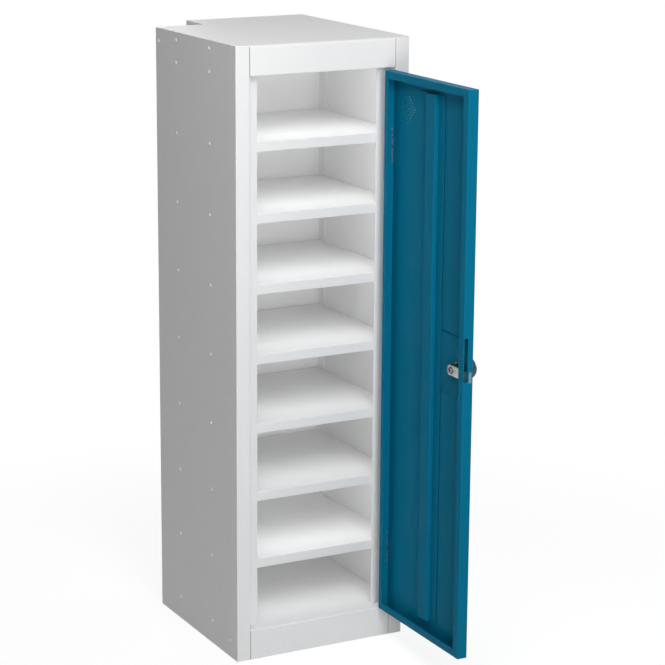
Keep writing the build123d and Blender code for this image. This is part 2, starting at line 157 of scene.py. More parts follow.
class Graph:
    """A shader graph that is being drawn."""

    def __init__(self, tree: bpy.types.NodeTree) -> None:
        """Starts with an empty tree."""
        tree.nodes.clear()
        self.tree = tree

    def node(
        self, kind: str, settings: dict[str, object], inputs: dict[str | int, Input]
    ) -> bpy.types.Node:
        """Makes one node.

        Args:
            kind: The node's type.
            settings: Its own settings, which are set first.
            inputs: A value or a link for each socket that is used.

        Returns:
            The node.
        """
        node = self.tree.nodes.new(kind)
        for name, value in settings.items():
            setattr(node, name, value)
        for key, value in inputs.items():
            source = value.socket if isinstance(value, Wire) else value
            if isinstance(source, bpy.types.NodeSocket):
                self.tree.links.new(source, node.inputs[key])
            else:
                node.inputs[key].default_value = source
        return node

    def wire(
        self,
        kind: str,
        settings: dict[str, object],
        inputs: dict[str | int, Input],
        output: str | int = 0,
    ) -> Wire:
        """Makes one node and gives one of its outputs.

        Args:
            kind: The node's type.
            settings: Its own settings.
            inputs: A value or a link for each socket that is used.
            output: Which output to give.

        Returns:
            The output.
        """
        return Wire(self, self.node(kind, settings, inputs).outputs[output])

    def place(self) -> Wire:
        """Gives a point's place on the object, in metres."""
        return self.wire("ShaderNodeTexCoord", {}, {}, "Object")

    def along(self, place: Wire) -> tuple[Wire, Wire, Wire]:
        """Parts a place into its X, Y and Z."""
        node = self.node("ShaderNodeSeparateXYZ", {}, {0: place})
        x, y, z = (Wire(self, socket) for socket in node.outputs)
        return x, y, z

    def noise(self, place: Input, grain: float, detail: float = 2.0) -> Wire:
        """Gives an even noise about 0.5.

        Args:
            place: Where the noise is read.
            grain: The size of its grains, in metres.
            detail: How many finer layers it has.

        Returns:
            The noise.
        """
        inputs = {"Vector": place, "Scale": 1 / grain, "Detail": detail}
        return self.wire("ShaderNodeTexNoise", {}, inputs, "Fac")

    def stretch(self, place: Wire, factors: Point) -> Wire:
        """Scales a place, so that a pattern on it is drawn out."""
        return self.wire(
            "ShaderNodeVectorMath", {"operation": "MULTIPLY"}, {0: place, 1: factors}
        )

    def blend(self, amount: Input, first: Input, second: Input) -> Wire:
        """Mixes two colours.

        Args:
            amount: How much of the second.
            first: A colour.
            second: Another colour.

        Returns:
            The mixed colour.
        """
        inputs = {"Factor": amount, 6: first, 7: second}
        return self.wire("ShaderNodeMix", {"data_type": "RGBA"}, inputs, 2)

    def within(self, corners: Corners, feather: float, ragged: Input = 0.0) -> Wire:
        """Tells points inside a box from those outside.

        Args:
            corners: The box's lowest and highest corners.
            feather: How far inside the box it takes to reach 1, in metres.
            ragged: Moves the box's faces out, or in where it is less than 0.

        Returns:
            1 inside and 0 outside.
        """
        inside: Input = 1.0
        for axis, low, high in zip(self.along(self.place()), *corners):
            inside = ((axis - low).at_most(high - axis) + ragged).ramp(0, feather) * inside
        return inside

    def bump(self, height: Wire, distance: float, under: Input | None = None) -> Wire:
        """Raises a surface.

        Args:
            height: The relief, from 0 to 1.
            distance: How high 1 is, in metres.
            under: A normal that this one stands on.

        Returns:
            The normal.
        """
        inputs: dict[str | int, Input] = {"Distance": distance, "Height": height}
        if under is not None:
            inputs["Normal"] = under
        return self.wire("ShaderNodeBump", {}, inputs, "Normal")


def rgba(colour: Colour) -> tuple[float, float, float, float]:
    """Adds a full alpha to a colour."""
    return (*colour, 1.0)


class Finish:
    """What every finish does: it makes its material once and dresses pieces in it."""

    slot: Slot
    name: str

    @classmethod
    def marked(cls, plain: Finish, name: str, **changes: object) -> Finish:
        """Makes a finish of this class from a plain one.

        Args:
            plain: The finish that it starts from.
            name: The new finish's name.
            changes: The fields that it has besides or that differ.

        Returns:
            The new finish.
        """
        return cls(**{**asdict(plain), "name": name, **changes})

    def draw(self, graph: Graph) -> bpy.types.Node:
        """Draws the surface shader."""
        raise NotImplementedError

    def material(self) -> bpy.types.Material:
        """Gives the finish's material, which is made the first time."""
        made = bpy.data.materials.get(self.name)
        if made is None:
            made = bpy.data.materials.new(self.name)
            made.use_nodes = True
            graph = Graph(made.node_tree)
            shader = self.draw(graph)
            graph.node("ShaderNodeOutputMaterial", {}, {"Surface": shader.outputs[0]})
        return made

    def dress(self, piece: bpy.types.Object) -> None:
        """Puts the finish on a whole piece."""
        piece.data.materials.clear()
        piece.data.materials.append(self.material())


@dataclass(frozen=True)
class PowderCoat(Finish):
    """Baked powder paint: a fine orange peel over sheet that is never quite flat."""

    slot: Slot
    name: str
    colour: Colour
    worn_colour: Colour
    roughness: float = 0.42
    gloss: float = 0.45
    peel: float = 1.3 * MM
    peel_height: float = 0.018 * MM
    buckle: float = 160 * MM
    buckle_height: float = 0.25 * MM
    drift_grain: float = 240 * MM
    handling_grain: float = 26 * MM
    speck_grain: float = 0.5 * MM
    drift_share: float = 0.35
    handling_share: float = 0.25
    speck_share: float = 0.3

    def draw(self, graph: Graph) -> bpy.types.Node:
        """Draws the paint, with a faint drift of shade and a film of handling marks."""
        place = graph.place()
        drift = graph.noise(place, self.drift_grain).ramp(0.25, 0.75)
        handling = graph.noise(place, self.handling_grain, 4).ramp(0.52, 0.75)
        peel = graph.noise(place, self.peel, 1)
        speck = graph.noise(place, self.speck_grain, 0).ramp(0.70, 0.78)
        shade = self.drift_share * drift + self.handling_share * handling
        shade = shade + self.speck_share * speck
        colour = self.tone(graph, graph.blend(shade, rgba(self.colour), rgba(self.worn_colour)))
        buckled = graph.bump(graph.noise(place, self.buckle, 1), self.buckle_height)
        return graph.node(
            "ShaderNodeBsdfPrincipled",
            {},
            {
                "Base Color": colour,
                "Roughness": self.roughness + 0.06 * handling + 0.08 * (peel - 0.5),
                "Specular IOR Level": self.gloss,
                "Normal": graph.bump(peel, self.peel_height, buckled),
            },
        )

    def tone(self, graph: Graph, colour: Wire) -> Wire:
        """Gives the paint's colour, which a coat with marks on it changes."""
        return colour


@dataclass(frozen=True)
class SeamShadedCoat(PowderCoat):
    """Powder paint with painted shade darkening the seams where sheets meet, each given by two
    corners.
    """

    seams: tuple[Corners, ...] = ()
    seam_shade_colour: Colour = (0.25, 0.25, 0.25)
    seam_shade_depth: float = 0.7
    seam_feather: float = 0.6 * MM

    def tone(self, graph: Graph, colour: Wire) -> Wire:
        """Darkens the paint in the seams with painted shade."""
        for seam in self.seams:
            # Painted shade: the seam's dark colour is blended over each seam box.
            depth = self.seam_shade_depth * graph.within(seam, self.seam_feather)
            colour = graph.blend(depth, colour, rgba(self.seam_shade_colour))
        return colour


@dataclass(frozen=True)
class DoorCoat(SeamShadedCoat):
    """Powder paint with painted shade in its seams and one patch rubbed to bare metal, given by two
    corners.
    """

    rub: Corners = ((0.0, 0.0, 0.0), (0.0, 0.0, 0.0))
    metal: Colour = (0.30, 0.36, 0.39)
    scratched_metal: Colour = (0.16, 0.22, 0.26)
    feather: float = 1.2 * MM
    ragged_grain: float = 1.8 * MM
    scratch_grain: float = 0.35 * MM
    scratch_stretch: Point = (1.0, 1.0, 0.06)
    # The dark blue of the painted shade in the door's seams.
    seam_shade_colour: Colour = (0.001, 0.05, 0.095)

    def rubbed(self, graph: Graph) -> Wire:
        """Gives 1 inside the rubbed patch and 0 outside, with a ragged edge."""
        ragged = (graph.noise(graph.place(), self.ragged_grain, 3) - 0.5) * (2 * self.feather)
        return graph.within(self.rub, self.feather, ragged)

    def draw(self, graph: Graph) -> bpy.types.Node:
        """Draws the paint and lays the bare metal over it."""
        paint = super().draw(graph)
        rubbed = self.rubbed(graph)
        drawn_out = graph.stretch(graph.place(), self.scratch_stretch)
        scratch = graph.noise(drawn_out, self.scratch_grain, 2)
        bare = graph.node(
            "ShaderNodeBsdfPrincipled",
            {},
            {
                "Base Color": graph.blend(scratch, rgba(self.metal), rgba(self.scratched_metal)),
                "Metallic": 1.0,
                "Roughness": 0.4 + 0.25 * scratch,
            },
        )
        return graph.node(
            "ShaderNodeMixShader", {}, {0: rubbed, 1: paint.outputs[0], 2: bare.outputs[0]}
        )


@dataclass(frozen=True)
class Plating(Finish):
    """Bright plating on steel: a metal with a faint grain and a film of handling marks."""

    slot: Slot
    name: str
    colour: Colour
    dull_colour: Colour
    roughness: float
    cloud_grain: float = 5 * MM
    line_grain: float = 0.4 * MM
    line_height: float = 0.004 * MM

    def draw(self, graph: Graph) -> bpy.types.Node:
        """Draws the plate."""
        place = graph.place()
        cloud = graph.noise(place, self.cloud_grain, 3).ramp(0.35, 0.75)
        line = graph.noise(place, self.line_grain, 2)
        return graph.node(
            "ShaderNodeBsdfPrincipled",
            {},
            {
                "Base Color": self.tone(graph, cloud),
                "Metallic": 1.0,
                "Roughness": self.roughness + 0.12 * cloud + 0.1 * (line - 0.5),
                "Normal": graph.bump(line, self.line_height),
            },
        )

    def tone(self, graph: Graph, cloud: Wire) -> Wire:
        """Gives the plate's colour, clouded by handling."""
        return graph.blend(cloud, rgba(self.colour), rgba(self.dull_colour))


@dataclass(frozen=True)
class TipShadedPlating(Plating):
    """Plating darkened by painted shade near one end, such as the tip that rubs in a keeper."""

    tip: float = 0.0
    reach: float = 10 * MM
    fade: float = 5 * MM
    ragged_grain: float = 2 * MM
    tip_shade_colour: Colour = (0.025, 0.075, 0.10)

    def tone(self, graph: Graph, cloud: Wire) -> Wire:
        """Gives the plate's colour, darkened near its tip by painted shade."""
        place = graph.place()
        ragged = (graph.noise(place, self.ragged_grain, 3) - 0.5) * self.fade
        limit = self.tip + self.reach
        unshaded = (graph.along(place)[1] + ragged).ramp(limit - self.fade, limit)
        return graph.blend(unshaded, rgba(self.tip_shade_colour), super().tone(graph, cloud))


class Bench:
    """The modelling bench: operators that shape one piece at a time, along the lock's X axis."""

    @staticmethod
    def clear() -> None:
        """Leaves edit mode and lets go of everything."""
        if bpy.context.object is not None and bpy.context.object.mode != "OBJECT":
            bpy.ops.object.mode_set(mode="OBJECT")
        bpy.ops.object.select_all(action="DESELECT")

    @staticmethod
    def hold(piece: bpy.types.Object) -> None:
        """Takes up one piece alone."""
        Bench.clear()
        piece.select_set(True)
        bpy.context.view_layer.objects.active = piece

    @staticmethod
    @contextmanager
    def editing(piece: bpy.types.Object) -> Iterator[None]:
        """Opens a piece for editing, with nothing of it selected."""
        Bench.hold(piece)
        bpy.ops.object.mode_set(mode="EDIT")
        bpy.ops.mesh.select_mode(type="FACE")
        bpy.ops.mesh.select_all(action="DESELECT")
        yield
        bpy.ops.object.mode_set(mode="OBJECT")

    @staticmethod
    def pick(piece: bpy.types.Object, test: FaceTest) -> None:
        """Selects the faces whose middle and normal pass a test.

        Args:
            piece: The piece that is open for editing.
            test: Takes a face's middle and normal.
        """
        mesh = bmesh.from_edit_mesh(piece.data)
        for face in mesh.faces:
            face.select_set(test(face.calc_center_median(), face.normal))
        bmesh.update_edit_mesh(piece.data)

    @staticmethod
    def named(name: str) -> bpy.types.Object:
        """Names the primitive that has just been added, and puts its place in its mesh."""
        piece = bpy.context.object
        piece.name = name
        piece.data.name = name
        bpy.ops.object.transform_apply(location=True, rotation=True, scale=True)
        return piece

    @staticmethod
    def turned(
        name: str, centre: Vector, steps: Steps, sides: int, upright: bool = False
    ) -> bpy.types.Object:
        """Turns a solid about an axis along X, by extruding a disc from step to step.

        Args:
            name: The piece's name.
            centre: A point on the axis.
            steps: The X and the radius of each step, in order.
            sides: How many sides its circles have.
            upright: Whether the solid is then stood upright about the point.

        Returns:
            The solid.
        """
        Bench.clear()
        start, radius = steps[0]
        bpy.ops.mesh.primitive_circle_add(
            vertices=sides,
            radius=radius,
            fill_type="NGON",
            location=(start, centre.y, centre.z),
            rotation=(0, math.pi / 2, 0),
        )
        piece = Bench.named(name)
        with Bench.editing(piece):
            bpy.ops.mesh.select_all(action="SELECT")
            for stop, wider in steps[1:]:
                bpy.ops.mesh.extrude_region_move(
                    TRANSFORM_OT_translate={"value": (stop - start, 0, 0)}
                )
                bpy.ops.transform.resize(
                    value=(1, wider / radius, wider / radius),
                    center_override=(stop, centre.y, centre.z),
                )
                start, radius = stop, wider
            bpy.ops.mesh.select_all(action="SELECT")
            bpy.ops.mesh.normals_make_consistent(inside=False)
            if upright:
                bpy.ops.transform.rotate(
                    value=math.pi / 2, orient_axis="Y", center_override=tuple(centre)
                )
        return piece

    @staticmethod
    def block(name: str, low: Vector, high: Vector) -> bpy.types.Object:
        """Adds a block between two corners."""
        Bench.clear()
        bpy.ops.mesh.primitive_cube_add(size=1, location=(low + high) / 2, scale=high - low)
        return Bench.named(name)

    @staticmethod
    def cut(piece: bpy.types.Object, cutter: bpy.types.Object) -> None:
        """Cuts one solid out of another, and throws the cutter away."""
        Bench.modify(piece, "BOOLEAN", operation="DIFFERENCE", object=cutter, solver="EXACT")
        bpy.data.objects.remove(cutter)

    @staticmethod
    def modify(piece: bpy.types.Object, kind: str, **settings: object) -> None:
        """Adds a modifier and applies it."""
        Bench.hold(piece)
        modifier = piece.modifiers.new(kind.lower(), kind)
        for name, value in settings.items():
            setattr(modifier, name, value)
        bpy.ops.object.modifier_apply(modifier=modifier.name)

    @staticmethod
    def break_edges(piece: bpy.types.Object, width: float) -> None:
        """Rounds every sharp edge a little, as tumbling does."""
        Bench.modify(
            piece,
            "BEVEL",
            width=width,
            segments=2,
            limit_method="ANGLE",
            angle_limit=math.radians(35),
            use_clamp_overlap=True,
        )

    @staticmethod
    def smooth(piece: bpy.types.Object, degrees: float = 35.0) -> None:
        """Shades the piece smooth, apart from its sharp edges."""
        Bench.hold(piece)
        bpy.ops.object.shade_smooth_by_angle(angle=math.radians(degrees))

    @staticmethod
    def copies(piece: bpy.types.Object, moves: list[Matrix], name: str) -> bpy.types.Object:
        """Copies a piece to many places, each with its own mesh, and joins them into one.

        Args:
            piece: The pattern, which is used up.
            moves: How each copy is moved from where the pattern stands.
            name: The name of the joined piece.

        Returns:
            The joined piece.
        """
        made = []
        for move in moves:
            copy = piece.copy()
            copy.data = piece.data.copy()
            copy.data.transform(move)
            bpy.context.scene.collection.objects.link(copy)
            made.append(copy)
        bpy.data.objects.remove(piece)
        Bench.clear()
        for copy in made:
            copy.select_set(True)
        bpy.context.view_layer.objects.active = made[0]
        bpy.ops.object.join()
        made[0].name = name
        made[0].data.name = name
        return made[0]


def middles(node: bpy.types.Object, reach: float) -> list[Vector]:
    """Finds the middles of the separate solids in a node.

    Args:
        node: The node.
        reach: No solid is wider than this, and no two are as near.

    Returns:
        The middle of each solid.
    """
    groups: list[list[Vector]] = []
    for vertex in node.data.vertices:
        for group in groups:
            if (vertex.co - group[0]).length < reach:
                group.append(vertex.co)
                break
        else:
            groups.append([vertex.co])
    found = []
    for group in groups:
        low = Vector(min(point[axis] for point in group) for axis in range(3))
        high = Vector(max(point[axis] for point in group) for axis in range(3))
        found.append((low + high) / 2)
    return found


def finished(piece: bpy.types.Object, finish: Finish, body: Body, *nodes: str) -> None:
    """Dresses a new piece, sets it riding and names the nodes that it stands for.

    Args:
        piece: The new piece.
        finish: What it is dressed in.
        body: What it rides on.
        nodes: The nodes that it replaces.
    """
    finish.dress(piece)
    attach(piece, body.value)
    for node in nodes:
        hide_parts(node)
    LOG.info("%s: %d faces, in place of %s", piece.name, len(piece.data.polygons), nodes)


WHITE_COAT = PowderCoat(
    Slot.WHITE, "white_powder_coat", colour=(0.865, 0.865, 0.865), worn_colour=(0.825, 0.825, 0.825)
)
BLUE_COAT = PowderCoat(
    Slot.BLUE,
    "blue_powder_coat",
    colour=(0.002, 0.165, 0.285),
    worn_colour=(0.003, 0.15, 0.265),
    gloss=0.03,
)
ZINC = Plating(
    Slot.ZINC,
    "zinc_plate",
    colour=(0.66, 0.65, 0.62),
    dull_colour=(0.50, 0.50, 0.49),
    roughness=0.26,
)
DULL_ZINC = Plating(
    Slot.ZINC,
    "handled_zinc_plate",
    colour=(0.20, 0.24, 0.25),
    dull_colour=(0.12, 0.14, 0.15),
    roughness=0.42,
)
# Chrome far darker than chrome's own colour: a painted dark reflection on the lock's barrel and knob.
REFLECTION_DARKENED_CHROME = Plating(
    Slot.CHROME,
    "reflection_darkened_chrome_plate",
    colour=(0.085, 0.09, 0.10),
    dull_colour=(0.05, 0.055, 0.06),
    roughness=0.16,
)


@dataclass
class Cabinet:
    """The white shell: folded side panels, back, top, ceiling and base, and the rear box."""

    nodes: dict[str, bpy.types.Object]
    panels: tuple[str, ...] = (
        "left_side_panel",
        "right_side_panel",
        "back_panel",
        "top_panel",
        "ceiling_panel",
        "base_panel",
        "rear_box_shell",
        "rear_box_top",
        "rear_box_bottom",
    )
    jointed: tuple[str, ...] = ("top_panel", "base_panel")
    shelf_count: int = 7
    stile_width: float = 24 * MM
    joint_widths: tuple[float, float] = (0.6 * MM, 1.1 * MM)
    joint_feather: float = 0.3 * MM

    def joint_shaded_coat(self) -> Finish:
        """Makes the coat of the header and plinth, with a dark joint of painted shade beside each
        stile.
        """
        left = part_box("left_side_panel")[0].x + self.stile_width
        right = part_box("right_side_panel")[1].x - self.stile_width
        left_width, right_width = self.joint_widths
        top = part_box("top_panel")[1].z
        # Each joint is a strip of painted shade, wider at the right stile.
        seams = []
        for start, end in ((left, left + left_width), (right - right_width, right)):
            low = (start - self.joint_feather, -MM, -MM)
            high = (end + self.joint_feather, MM, top + MM)
            seams.append((low, high))
        return SeamShadedCoat.marked(
            WHITE_COAT,
            "seam_shaded_white_powder_coat",
            seams=tuple(seams),
            seam_feather=self.joint_feather,
        )

    def dress(self) -> None:
        """Coats every panel and shelf."""
        joint_shaded_coat = self.joint_shaded_coat()
        shelves = [f"shelf_{number + 1}" for number in range(self.shelf_count)]
        for name in [*self.panels, *shelves]:
            coat = joint_shaded_coat if name in self.jointed else WHITE_COAT
            coat.dress(self.nodes[name])
            LOG.info("%s: coated", name)


@dataclass
class RivetRows:
    """Blind rivets up both sides, coated with the cabinet: a domed head with a small pit."""

    nodes: dict[str, bpy.types.Object]
    head_radius: float = 3.1 * MM
    height: float = 1.2 * MM
    rim: float = 0.35 * MM
    pit_radius: float = 0.8 * MM
    pit_depth: float = 0.7 * MM
    spacing: float = 12 * MM
    sides: int = 20

    def head(self, name: str, base: Vector, outward: float) -> bpy.types.Object:
        """Models one head.

        Args:
            name: The piece's name.
            base: The middle of the face that lies on the panel.
            outward: 1 or -1, which way along X the head stands out.

        Returns:
            The head.
        """
        dome = [
            (0.0, self.head_radius),
            (self.rim, self.head_radius),
            (0.72 * self.height, 0.82 * self.head_radius),
            (0.95 * self.height, 0.55 * self.head_radius),
            (self.height, 1.2 * self.pit_radius),
            (self.height - self.pit_depth, self.pit_radius),
        ]
        steps = [(base.x + outward * height, radius) for height, radius in dome]
        return Bench.turned(name, base, steps, self.sides)

    def build(self) -> None:
        """Models the heads of each side at the places of the plain ones."""
        for side, outward in (("left", -1.0), ("right", 1.0)):
            node = self.nodes[f"{side}_rivets"]
            places = middles(node, self.spacing)
            low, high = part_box(node.name)
            wall = high.x if outward < 0 else low.x
            first = Vector((wall, places[0].y, places[0].z))
            pattern = self.head(f"{side}_rivet_pattern", first, outward)
            moves = [
                Matrix.Translation((0, place.y - first.y, place.z - first.z)) for place in places
            ]
            rivets = Bench.copies(pattern, moves, f"{side}_rivet_heads")
            Bench.smooth(rivets, DOME_CREASE)
            finished(rivets, WHITE_COAT, Body.CABINET, node.name)


@dataclass
class Door:
    """The blue door: its pan and the stiffener up its middle."""

    nodes: dict[str, bpy.types.Object]
    rub_low_z: float = 499 * MM
    rub_high_z: float = 517 * MM
    rub_start: float = 2.4 * MM
    rub_width: float = 5.6 * MM
    rub_depth: float = 1.5 * MM
    plate_low_z: float = 464 * MM
    plate_high_z: float = 561 * MM
    plate_thickness: float = 1.0 * MM
    plate_gap: float = 0.3 * MM
    plate_seam: float = 1.6 * MM
    plate_hole_radius: float = 14.4 * MM
    plate_break: float = 0.2 * MM
    sheet: float = 1.0 * MM
    seam_width: float = 3.0 * MM
    seam_overlap: float = 0.3 * MM

    def build(self) -> None:
        """Coats the door and adds the plate behind its lock."""
        self.dress()
        self.build_plate()

    def build_plate(self) -> None:
        """Models the plate that stiffens the sheet round the lock, with a hole for the nut."""
        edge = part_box("door_panel")[0].y + self.sheet
        flange_low, flange_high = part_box("door_stiffener")
        lock_low, lock_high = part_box("lock_nut")
        floor = flange_high.x
        low = Vector((floor - self.plate_thickness, edge + self.plate_gap, self.plate_low_z))
        high = Vector((floor, flange_low.y - self.plate_seam, self.plate_high_z))
        plate = Bench.block("lock_stiffening_plate", low, high)
        radius = self.plate_hole_radius
        bore = [(low.x - MM, radius), (high.x + MM, radius)]
        centre = (lock_low + lock_high) / 2
        Bench.cut(plate, Bench.turned("plate_cutter", centre, bore, 48))
        Bench.break_edges(plate, self.plate_break)
        Bench.smooth(plate)
        finished(plate, BLUE_COAT, Body.DOOR)

    def dress(self) -> None:
        """Coats the door, which the keeper has rubbed bare beside the cam's slot, and paints shade
        into two seams.
        """
        low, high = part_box("door_panel")
        flange_low, flange_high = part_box("door_stiffener")
        floor = flange_high.x
        # Painted shade: a dark line beside the stiffener flange's edge, and another just above the
        # lock plate.
        edge = (
            (floor - MM, flange_low.y - self.seam_width, flange_low.z),
            (floor + MM, flange_low.y + self.seam_overlap, flange_high.z),
        )
        top = (
            (floor - MM, low.y, self.plate_high_z - self.seam_overlap),
            (floor + MM, flange_low.y, self.plate_high_z + self.seam_width),
        )
        rub_end = high.x - self.rub_start
        rub = (
            (rub_end - self.rub_width, low.y - MM, self.rub_low_z),
            (rub_end, low.y + self.rub_depth, self.rub_high_z),
        )
        rubbed = DoorCoat.marked(BLUE_COAT, "marked_blue_powder_coat", rub=rub, seams=(edge, top))
        rubbed.dress(self.nodes["door_panel"])
        BLUE_COAT.dress(self.nodes["door_stiffener"])
        LOG.info("door_panel, door_stiffener: coated")


@dataclass
class Hinges:
    """Two steel hinges: plated leaves, and pins with domed ends."""

    nodes: dict[str, bpy.types.Object]
    names: tuple[str, ...] = ("upper", "lower")
    dome: Profile = ((0.0, 0.45), (0.12, 0.75), (0.35, 0.93), (0.7, 1.0))
    sides: int = 32

    def dress(self) -> None:
        """Plates the leaves and makes the pins."""
        for name in self.names:
            for leaf in ("hinge_frame_leaf", "hinge_door_leaf"):
                ZINC.dress(self.nodes[f"{name}_{leaf}"])
            LOG.info("%s hinge: leaves plated", name)
            self.build_pin(name)

    def build_pin(self, name: str) -> None:
        """Models one pin. Each step of its domed ends has a depth and a width in radii."""
        low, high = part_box(f"{name}_hinge_pin")
        centre = (low + high) / 2
        radius = (high.x - low.x) / 2
        half = (high.z - low.z) / 2
        steps = [(centre.x - half + depth * radius, wide * radius) for depth, wide in self.dome]
        for depth, wide in reversed(self.dome):
            steps.append((centre.x + half - depth * radius, wide * radius))
        pin = Bench.turned(f"{name}_domed_pin", centre, steps, self.sides, upright=True)
        Bench.smooth(pin, DOME_CREASE)
        finished(pin, ZINC, Body.CABINET, f"{name}_hinge_pin")


@dataclass
class CamLock:
    """The turning lock: barrel and its flange, nut, knob, cam and the cam's screw."""

    axis: Vector = field(init=False)
    door_face: float = field(init=False)
    bezel_radius: float = 15.5 * MM
    bezel_step: float = 0.8 * MM
    barrel_radius: float = 9.5 * MM
    barrel_flats: float = 16.0 * MM
    flat_gap: float = 0.05 * MM
    thread_pitch: float = 1.2 * MM
    thread_depth: float = 0.65 * MM
    bore_radius: float = 6.1 * MM
    spindle_radius: float = 6.0 * MM
    nut_across_flats: float = 24.0 * MM
    nut_break: float = 0.45 * MM
    neck_radius: float = 13.0 * MM
    knob_length: float = 20.2 * MM
    rim_radius: float = 15.8 * MM
    recess_radius: float = 9.0 * MM
    recess_depth: float = 1.5 * MM
    crown: Profile = (
        (6.5, 0.4), (5.2, 0.0), (4.2, 0.2), (2.4, 1.5), (0.8, 3.1), (0.2, 4.0), (0.0, 4.8)
    )
    flutes: int = 24
    flute_depth: float = 0.05
    flute_share: float = 0.34
    flute_start: float = 1.5 * MM
    flute_end: float = 4.6 * MM
    flute_margin: float = 2 * MM
    keyway_width: float = 1.8 * MM
    keyway_height: float = 9.0 * MM
    keyway_depth: float = 6.0 * MM
    tip_radius: float = 2.0 * MM
    tail_radius: float = 6.0 * MM
    cam_break: float = 0.3 * MM
    screw_radius: float = 5.0 * MM
    shank_radius: float = 2.0 * MM
    socket_radius: float = 2.4 * MM
    socket_depth: float = 1.6 * MM

    def __post_init__(self) -> None:
        """Reads the lock's axis and the door's outer face from the frame."""
        low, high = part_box("lock_barrel")
        self.axis = (low + high) / 2
        self.door_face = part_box("door_panel")[1].x

    def build(self) -> None:
        """Models the five pieces on the lock's axis."""
        self.build_barrel()
        self.build_nut()
        self.build_knob()
        self.build_cam()
        self.build_screw()

    def build_barrel(self) -> None:
        """Models the barrel: a stepped flange outside the door, and a flatted thread inside."""
        low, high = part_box("lock_barrel")
        face = self.door_face
        steps = [
            (high.x, self.bezel_radius - 3 * self.bezel_step),
            (high.x - 0.4 * self.bezel_step, self.bezel_radius - self.bezel_step),
            (high.x - 1.4 * self.bezel_step, self.bezel_radius),
            (face, self.bezel_radius),
            (face, self.barrel_radius),
        ]
        turns = int((face - low.x) / self.thread_pitch)
        for turn in range(turns):
            crest = face - turn * self.thread_pitch
            steps.append((crest - 0.25 * self.thread_pitch, self.barrel_radius))
            steps.append((crest - 0.6 * self.thread_pitch, self.barrel_radius - self.thread_depth))
            steps.append((crest - self.thread_pitch, self.barrel_radius))
        steps.append((low.x, self.barrel_radius - self.thread_depth))
        barrel = Bench.turned("threaded_lock_barrel", self.axis, steps, 64)
        bore = [(low.x - MM, self.bore_radius), (high.x + MM, self.bore_radius)]
        Bench.cut(barrel, Bench.turned("bore_cutter", self.axis, bore, 48))
        for way in (-1, 1):
            ends = [self.axis.z + way * reach for reach in (self.barrel_flats / 2, self.bezel_radius)]
            flat_low = Vector((low.x - MM, low.y, min(ends)))
            flat_high = Vector((face - self.flat_gap, high.y, max(ends)))
            Bench.cut(barrel, Bench.block("flat_cutter", flat_low, flat_high))
        Bench.smooth(barrel)
        finished(barrel, REFLECTION_DARKENED_CHROME, Body.DOOR, "lock_barrel")

    def build_nut(self) -> None:
        """Models the hexagonal nut, with its corners turned off."""
        low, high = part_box("lock_nut")
        corner = self.nut_across_flats / math.sqrt(3)
        steps = [(low.x, corner), (high.x, corner)]
        nut = Bench.turned("hexagonal_lock_nut", self.axis, steps, 6)
        bore = [(low.x - MM, self.barrel_radius), (high.x + MM, self.barrel_radius)]
        Bench.cut(nut, Bench.turned("nut_cutter", self.axis, bore, 64))
        Bench.break_edges(nut, self.nut_break)
        Bench.smooth(nut)
        finished(nut, DULL_ZINC, Body.DOOR, "lock_nut")

    def build_knob(self) -> None:
        """Models the knob: a tapered, fluted grip with a dished face, and its spindle.

        The crown's steps have a depth behind the front and an inset from the rim, in mm.
        """
        low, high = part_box("lock_knob")
        rear = high.x - self.knob_length
        rim = self.rim_radius
        floor = high.x - self.recess_depth
        steps = [
            (low.x, self.spindle_radius),
            (rear, self.spindle_radius),
            (rear, self.neck_radius - 0.6 * MM),
            (rear + 0.6 * MM, self.neck_radius),
        ]
        steps += [(high.x - depth * MM, rim - inset * MM) for depth, inset in self.crown]
        steps += [
            (high.x, self.recess_radius + 0.5 * MM),
            (high.x - 0.4 * MM, self.recess_radius),
            (floor, self.recess_radius),
            (floor, self.recess_radius - 0.5 * MM),
            (floor + 0.3 * MM, self.recess_radius - 0.7 * MM),
            (floor + 0.3 * MM, 0.2 * MM),
        ]
        knob = Bench.turned("fluted_lock_knob", self.axis, steps, 6 * self.flutes)
        with Bench.editing(knob):
            Bench.pick(knob, self.is_flute)
            grip = 1 - self.flute_depth
            bpy.ops.transform.resize(
                value=(1, grip, grip), center_override=(high.x, self.axis.y, self.axis.z)
            )
        half = Vector((0, self.keyway_width / 2, self.keyway_height / 2))
        slot_low = Vector((floor - self.keyway_depth, self.axis.y, self.axis.z)) - half
        slot_high = Vector((high.x + MM, self.axis.y, self.axis.z)) + half
        Bench.cut(knob, Bench.block("keyway_cutter", slot_low, slot_high))
        Bench.smooth(knob, 40)
        finished(knob, REFLECTION_DARKENED_CHROME, Body.LOCK, "lock_knob")

    def is_flute(self, middle: Vector, normal: Vector) -> bool:
        """Tells whether a face lies in one of the grip's flutes."""
        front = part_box("lock_knob")[1].x
        rear = front - self.knob_length
        on_grip = rear + self.flute_start < middle.x < front - self.flute_end
        across, up = middle.y - self.axis.y, middle.z - self.axis.z
        phase = (math.atan2(up, across) / math.tau * self.flutes) % 1.0
        outer = math.hypot(up, across) > self.recess_radius + self.flute_margin
        return on_grip and outer and phase < self.flute_share

